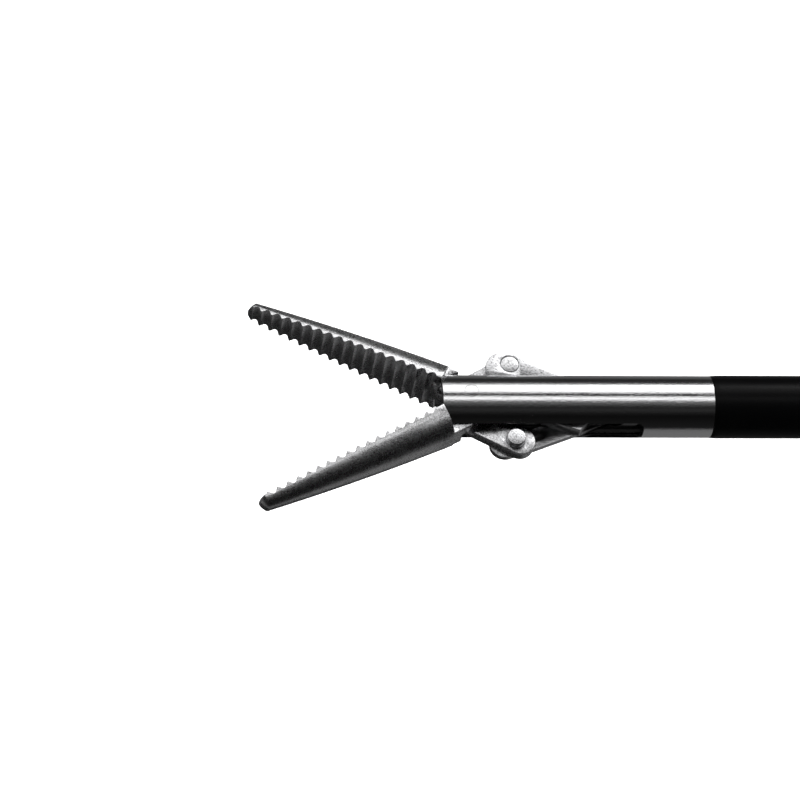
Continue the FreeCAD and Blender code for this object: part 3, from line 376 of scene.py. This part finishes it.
def broken_edges(node, width):
    """A copy of a node with its sharp edges broken stands for it."""
    mesh = bmesh.new()
    mesh.from_mesh(frame["nodes"][node].data)
    bmesh.ops.remove_doubles(mesh, verts=mesh.verts, dist=WELD)
    bmesh.ops.dissolve_limit(mesh, angle_limit=FLAT, verts=mesh.verts, edges=mesh.edges)
    sharp = [edge for edge in mesh.edges if edge.is_manifold and edge.calc_face_angle() > SHARP]
    bmesh.ops.bevel(
        mesh, geom=sharp, offset=width, offset_type="OFFSET", segments=2,
        profile=0.5, affect="EDGES", clamp_overlap=True, material=-1,
    )
    data = bpy.data.meshes.new(node + "_finished")
    mesh.to_mesh(data)
    mesh.free()
    data.shade_smooth()
    data.set_sharp_from_angle(angle=CREASE)
    piece = bpy.data.objects.new(node + "_finished", data)
    bpy.context.scene.collection.objects.link(piece)
    data.materials.append(finish_of(SLOT_OF[node]))
    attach(piece, BODY_OF[node])
    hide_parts(node)
    return piece


def new_stage(name, mesh, material, only_gloss=True):
    """A piece of the stage, which only reflections show unless it is said otherwise."""
    data = bpy.data.meshes.new(name)
    mesh.to_mesh(data)
    mesh.free()
    data.materials.append(material)
    piece = bpy.data.objects.new(name, data)
    bpy.context.scene.collection.objects.link(piece)
    piece.visible_camera = not only_gloss
    piece.visible_diffuse = not only_gloss
    piece.visible_shadow = not only_gloss


class DissectorFinish(bpy.types.PropertyGroup):
    """Colours of the steel, plastic and rubber, the tube's radius and the width of broken edges."""

    jaw_colour: bpy.props.FloatVectorProperty(
        name="Jaws", description="Bead-blasted steel of the blades",
        subtype="COLOR", default=(0.74, 0.74, 0.75),
    )
    link_colour: bpy.props.FloatVectorProperty(
        name="Links", description="Wire-cut steel of the links and tails",
        subtype="COLOR", default=(0.62, 0.62, 0.63),
    )
    tube_colour: bpy.props.FloatVectorProperty(
        name="Tube", description="Polished steel", subtype="COLOR", default=(0.84, 0.84, 0.85)
    )
    brass_colour: bpy.props.FloatVectorProperty(
        name="Brass", description="Bush and contact brush", subtype="COLOR", default=(0.78, 0.6, 0.3)
    )
    sheath_colour: bpy.props.FloatVectorProperty(
        name="Sheath", description="Black insulation", subtype="COLOR", default=(0.0012, 0.0012, 0.0013)
    )
    nylon_colour: bpy.props.FloatVectorProperty(
        name="White polymer", description="Bearing and rod sleeve",
        subtype="COLOR", default=(0.8, 0.8, 0.77),
    )
    seal_colour: bpy.props.FloatVectorProperty(
        name="Seal", description="Rubber of the seal and flush cap",
        subtype="COLOR", default=(0.2, 0.2, 0.21),
    )
    knob_colour: bpy.props.FloatVectorProperty(
        name="Knob", description="Plastic of the rotation knob",
        subtype="COLOR", default=(0.022, 0.022, 0.024),
    )
    handle_colour: bpy.props.FloatVectorProperty(
        name="Handle", description="Plastic of the shells and lever",
        subtype="COLOR", default=(0.03, 0.03, 0.032),
    )
    liner_colour: bpy.props.FloatVectorProperty(
        name="Liners", description="Soft rubber in the two rings",
        subtype="COLOR", default=(0.13, 0.13, 0.14),
    )
    tube_radius: bpy.props.FloatProperty(
        name="Tube radius", description="Outer radius of the jaw housing", unit="LENGTH",
        precision=5, default=0.0025,
    )
    steel_edge: bpy.props.FloatProperty(
        name="Steel edges", description="Width of the broken edges on the working end", unit="LENGTH",
        precision=6, default=0.00003,
    )
    plastic_edge: bpy.props.FloatProperty(
        name="Plastic edges", description="Width of the broken edges on the handle", unit="LENGTH",
        precision=5, default=0.0003,
    )


class DissectorStage(bpy.types.PropertyGroup):
    """Where the camera stands and how bright the lamps are."""

    elevation: bpy.props.FloatProperty(
        name="Elevation", description="Height of the camera above the jaws' plane", subtype="ANGLE",
        default=math.radians(59.33),
    )
    turn: bpy.props.FloatProperty(
        name="Turn", description="Turn of the camera toward the tips",
        subtype="ANGLE", default=math.radians(9.23),
    )
    roll: bpy.props.FloatProperty(
        name="Roll", description="Rise of the shaft across the picture",
        subtype="ANGLE", default=math.radians(-0.15),
    )
    distance: bpy.props.FloatProperty(
        name="Distance", description="From the jaw pivot to the camera", unit="LENGTH", default=0.3
    )
    aside: bpy.props.FloatProperty(
        name="Aside", description="How far left of the jaw pivot the camera looks", subtype="ANGLE",
        default=math.radians(1.031),
    )
    above: bpy.props.FloatProperty(
        name="Above", description="How far above the jaw pivot the camera looks", subtype="ANGLE",
        default=math.radians(0.098),
    )
    lens: bpy.props.FloatProperty(
        name="Lens", description="Focal length", unit="CAMERA", default=168.75
    )
    key_power: bpy.props.FloatProperty(
        name="Key lamp", description="Power of the long soft lamp behind", unit="POWER", default=5.0
    )
    top_power: bpy.props.FloatProperty(
        name="Top lamp", description="Power of the lamp overhead", unit="POWER", default=2.0
    )
    fill: bpy.props.FloatProperty(
        name="Fill", description="Strength of the light from all round", default=0.32
    )


class DISSECTOR_OT_finishes(bpy.types.Operator):
    """Makes the materials of every slot"""

    bl_idname = "dissector.finishes"
    bl_label = "Finishes"

    def execute(self, context):
        made = make_finishes()
        missing = set(SLOT_OF.values()) - set(made)
        if missing:
            raise RuntimeError(f"no finish for {sorted(missing)}")
        return {"FINISHED"}


class DISSECTOR_OT_jaws(bpy.types.Operator):
    """Finishes the toothed jaws and their pivot pin"""

    bl_idname = "dissector.jaws"
    bl_label = "Jaws"

    def execute(self, context):
        for node in ("jaw_left", "jaw_right"):
            broken_edges(node, finishes().steel_edge)
        pin = broken_edges("jaw_pivot_pin", finishes().steel_edge * 2)
        round_normals(pin.data, finishes().tube_radius)
        return {"FINISHED"}


class DISSECTOR_OT_linkage(bpy.types.Operator):
    """Finishes the links, their rivets and the head of the pull rod"""

    bl_idname = "dissector.linkage"
    bl_label = "Linkage"

    def execute(self, context):
        for node in ("link_left", "link_right", "pull_rod_head", "rivet_left", "rivet_right"):
            broken_edges(node, finishes().steel_edge)
        carry_over("rod_head_pin")
        return {"FINISHED"}


class DISSECTOR_OT_shaft(bpy.types.Operator):
    """Finishes the jaw housing, the sheath and what runs inside them"""

    bl_idname = "dissector.shaft"
    bl_label = "Shaft"

    def execute(self, context):
        housing = broken_edges("jaw_housing", finishes().steel_edge)
        round_normals(housing.data, finishes().tube_radius)
        broken_edges("insulating_sheath", finishes().steel_edge)
        carry_over("shaft_tube", "pull_rod", "rod_sleeve", "rod_ball")
        return {"FINISHED"}


class DISSECTOR_OT_knob(bpy.types.Operator):
    """Finishes the rotation knob, its hub and the flush port"""

    bl_idname = "dissector.knob"
    bl_label = "Rotation knob"

    def execute(self, context):
        broken_edges("rotation_knob", finishes().plastic_edge)
        broken_edges("flush_port", finishes().plastic_edge / 3)
        broken_edges("flush_cap", finishes().plastic_edge / 2)
        carry_over("shaft_ferrule", "retaining_ring", "rod_seal", "seal_retainer", "knob_bearing")
        return {"FINISHED"}


class DISSECTOR_OT_handle(bpy.types.Operator):
    """Finishes the handle shells, their screws and the finger loop's liner"""

    bl_idname = "dissector.handle"
    bl_label = "Handle"

    def execute(self, context):
        for node in ("handle_shell_left", "handle_shell_right", "finger_loop_liner"):
            broken_edges(node, finishes().plastic_edge)
        for node in ("handle_screws", "lever_pivot_screw", "lever_pivot_nut"):
            broken_edges(node, finishes().plastic_edge / 3)
        return {"FINISHED"}


class DISSECTOR_OT_lever(bpy.types.Operator):
    """Finishes the thumb lever, its bush and its liner"""

    bl_idname = "dissector.lever"
    bl_label = "Thumb lever"

    def execute(self, context):
        for node in ("thumb_lever", "thumb_ring_liner"):
            broken_edges(node, finishes().plastic_edge)
        carry_over("lever_bush")
        return {"FINISHED"}


class DISSECTOR_OT_connector(bpy.types.Operator):
    """Finishes the plug pin, its collar and the contact brush"""

    bl_idname = "dissector.connector"
    bl_label = "Connector"

    def execute(self, context):
        broken_edges("connector_collar", finishes().plastic_edge)
        carry_over("connector_pin", "contact_brush")
        return {"FINISHED"}


def white_floor():
    """White card that keeps the object's shadow and is white where nothing shades it."""
    material, tree = new_finish("white_floor")
    path = tree.add("LightPath", output="Is Camera Ray")
    card = tree.add("BsdfDiffuse", Color=(FLOOR_SHADE, FLOOR_SHADE, FLOOR_SHADE, 1.0))
    glow = tree.add("Emission", Strength=path * FLOOR_GLOW)
    tree.add("OutputMaterial", Surface=tree.add("AddShader", Shader=card, Shader_001=glow))
    return material


def tent_lining():
    """Light and dark strips along the tent, by their angle above the horizon in front."""
    material, tree = new_finish("tent_lining")
    here = tree.add("TexCoord", output="Object")
    front = tree.add("SeparateXYZ", output="Y", Vector=here) * -1.0
    height = tree.add("SeparateXYZ", output="Z", Vector=here)
    turn = height.math("ARCTAN2", front) / math.tau + 0.5
    stops = [((angle + 180) / 360, level / TENT_PEAK) for angle, level in TENT_STRIPS]
    level = tree.add("ValToRGB", {"stops": stops}, output="Color", Fac=turn)
    tree.add("OutputMaterial", Surface=tree.add("Emission", Color=level, Strength=TENT_PEAK))
    return material


def add_tent(floor_height, middle):
    """A long tent over the object that only the steel and the gloss see."""
    mesh = bmesh.new()
    bmesh.ops.create_cone(
        mesh, cap_ends=True, segments=96, radius1=TENT_RADIUS, radius2=TENT_RADIUS, depth=TENT_LENGTH
    )
    bmesh.ops.rotate(mesh, cent=(0, 0, 0), matrix=Matrix.Rotation(math.pi / 2, 3, "Y"), verts=mesh.verts)
    bmesh.ops.translate(mesh, vec=(middle, 0, 0), verts=mesh.verts)
    cut = bmesh.ops.bisect_plane(
        mesh, geom=[*mesh.verts, *mesh.edges, *mesh.faces], plane_co=(0, 0, floor_height),
        plane_no=(0, 0, -1), clear_outer=True,
    )
    rim = [item for item in cut["geom_cut"] if isinstance(item, bmesh.types.BMEdge)]
    bmesh.ops.contextual_create(mesh, geom=rim)
    new_stage("tent", mesh, tent_lining())


def add_panel(name, size, tilt, place, level):
    """A flat glowing panel, tilted about X, that only reflections show."""
    mesh = bmesh.new()
    bmesh.ops.create_grid(mesh, x_segments=1, y_segments=1, size=0.5)
    bmesh.ops.scale(mesh, vec=(*size, 1), verts=mesh.verts)
    bmesh.ops.rotate(mesh, cent=(0, 0, 0), matrix=Matrix.Rotation(tilt, 3, "X"), verts=mesh.verts)
    bmesh.ops.translate(mesh, vec=place, verts=mesh.verts)
    material, tree = new_finish(name)
    glow = tree.add("Emission", Color=(1.0, 1.0, 1.0, 1.0), Strength=level)
    tree.add("OutputMaterial", Surface=glow)
    new_stage(name, mesh, material)


def add_dark_card(floor_height):
    """A dark card under the jaws, which only their steel reflects."""
    place = (JAW_PIVOT[0] + CARD_PLACE[0], CARD_PLACE[1], floor_height)
    add_panel("dark_card", CARD_SIZE, 0, place, CARD_LEVEL)


def add_sheath_strip():
    """A narrow bright strip over the shaft, which draws the line of light along the sheath."""
    middle = JAW_PIVOT[0] + STRIP_START + STRIP_SIZE[0] / 2
    place = (middle, -STRIP_REACH * math.cos(STRIP_ANGLE), STRIP_REACH * math.sin(STRIP_ANGLE))
    add_panel("sheath_strip", STRIP_SIZE, math.pi / 2 - STRIP_ANGLE, place, STRIP_LEVEL)


def add_lamp(name, power, width, place, target):
    """A long soft lamp that faces its target, with its length along X."""
    data = bpy.data.lights.new(name, "AREA")
    data.shape = "RECTANGLE"
    data.size = LAMP_LENGTH
    data.size_y = width
    data.energy = power
    lamp = bpy.data.objects.new(name, data)
    bpy.context.scene.collection.objects.link(lamp)
    back = (Vector(place) - Vector(target)).normalized()
    side = Vector((1, 0, 0))
    lamp.visible_glossy = False
    axes = Matrix((side, back.cross(side), back)).transposed()
    lamp.matrix_world = Matrix.Translation(place) @ axes.to_4x4()


def lowest_reach():
    """Height of the lowest point of the thumb lever when it is swung fully in."""
    joint = next(joint for joint in frame["joints"] if joint["name"] == "lever_pivot")
    centre = Vector(joint["pos_m"])
    swing = Matrix.Rotation(math.radians(joint["range_deg"][1]), 3, Vector(joint["axis"]))
    points = [vertex.co for vertex in frame["nodes"]["thumb_lever"].data.vertices]
    return min((swing @ (point - centre) + centre).z for point in points)


class DISSECTOR_OT_stage(bpy.types.Operator):
    """Sets the floor, the tent, the card and strip, the lamps, the world and the camera"""

    bl_idname = "dissector.stage"
    bl_label = "Stage"

    def execute(self, context):
        stage = context.scene.dissector_stage
        low, high = (Vector(corner) for corner in CAD_BOX)
        pivot = Vector(JAW_PIVOT)
        ground = min(low.z, lowest_reach())
        floor = bmesh.new()
        bmesh.ops.create_grid(floor, x_segments=1, y_segments=1, size=FLOOR_SIZE)
        bmesh.ops.translate(floor, vec=(0, 0, ground - FLOOR_DROP), verts=floor.verts)
        new_stage("floor", floor, white_floor(), only_gloss=False)
        middle = (low.x + high.x) / 2
        add_tent(ground - TENT_DROP, middle)
        add_dark_card(ground)
        add_sheath_strip()
        target = (middle, 0, 0)
        add_lamp("key_lamp", stage.key_power, KEY_WIDTH, (middle, *KEY_PLACE), target)
        add_lamp("top_lamp", stage.top_power, TOP_WIDTH, (middle, *TOP_PLACE), target)
        self.light_world(context, stage)
        self.set_camera(context, stage, pivot)
        context.scene.view_settings.view_transform = "Standard"
        return {"FINISHED"}

    def light_world(self, context, stage):
        """Even light on the object, and white to the camera and in the polished steel."""
        world = bpy.data.worlds.new("studio")
        context.scene.world = world
        tree = Tree(world)
        camera = tree.add("LightPath", output="Is Camera Ray")
        glossy = tree.add("LightPath", output="Is Glossy Ray")
        seen = camera.math("MAXIMUM", glossy)
        strength = seen * (1 - stage.fill) + stage.fill
        light = tree.add("Background", Color=(1.0, 1.0, 1.0, 1.0), Strength=strength)
        tree.add("OutputWorld", Surface=light)

    def set_camera(self, context, stage, pivot):
        """Looks at the jaw pivot from the photograph's side. The pivot stands right of the middle."""
        up, turn = stage.elevation, stage.turn
        back = Vector((
            -math.sin(turn), -math.cos(turn) * math.cos(up), math.cos(turn) * math.sin(up)
        ))
        right = (Vector((1, 0, 0)) - back * back.x).normalized()
        axes = Matrix((right, back.cross(right), back)).transposed() @ Matrix.Rotation(-stage.roll, 3, "Z")
        aim = Matrix.Rotation(stage.aside, 3, "Y") @ Matrix.Rotation(stage.above, 3, "X")
        data = bpy.data.cameras.new("camera")
        data.lens = stage.lens
        data.clip_start = CLIP_START
        data.clip_end = CLIP_END
        camera = bpy.data.objects.new("camera", data)
        context.scene.collection.objects.link(camera)
        camera.matrix_world = Matrix.Translation(pivot + back * stage.distance) @ (axes @ aim).to_4x4()
        context.scene.camera = camera


class DISSECTOR_PT_panel(bpy.types.Panel):
    """Lists the pieces of the dissector"""

    bl_label = "Surgical dissector"
    bl_space_type = "VIEW_3D"
    bl_region_type = "UI"
    bl_category = "Dissector"

    def draw(self, context):
        for group in (context.scene.dissector_finish, context.scene.dissector_stage):
            box = self.layout.box()
            for name in group.__annotations__:
                box.prop(group, name)
        for operator in OPERATORS:
            self.layout.operator(operator.bl_idname)


OPERATORS = (
    DISSECTOR_OT_finishes,
    DISSECTOR_OT_jaws,
    DISSECTOR_OT_linkage,
    DISSECTOR_OT_shaft,
    DISSECTOR_OT_knob,
    DISSECTOR_OT_handle,
    DISSECTOR_OT_lever,
    DISSECTOR_OT_connector,
    DISSECTOR_OT_stage,
)
CLASSES = (DissectorFinish, DissectorStage, *OPERATORS, DISSECTOR_PT_panel)


def register():
    for item in CLASSES:
        bpy.utils.register_class(item)
    bpy.types.Scene.dissector_finish = bpy.props.PointerProperty(type=DissectorFinish)
    bpy.types.Scene.dissector_stage = bpy.props.PointerProperty(type=DissectorStage)


def unregister():
    del bpy.types.Scene.dissector_stage
    del bpy.types.Scene.dissector_finish
    for item in reversed(CLASSES):
        bpy.utils.unregister_class(item)


def main():
    register()
    bpy.ops.dissector.finishes()
    bpy.ops.dissector.jaws()
    bpy.ops.dissector.linkage()
    bpy.ops.dissector.shaft()
    bpy.ops.dissector.knob()
    bpy.ops.dissector.handle()
    bpy.ops.dissector.lever()
    bpy.ops.dissector.connector()
    bpy.ops.dissector.stage()


if __name__ == "__main__":
    main()
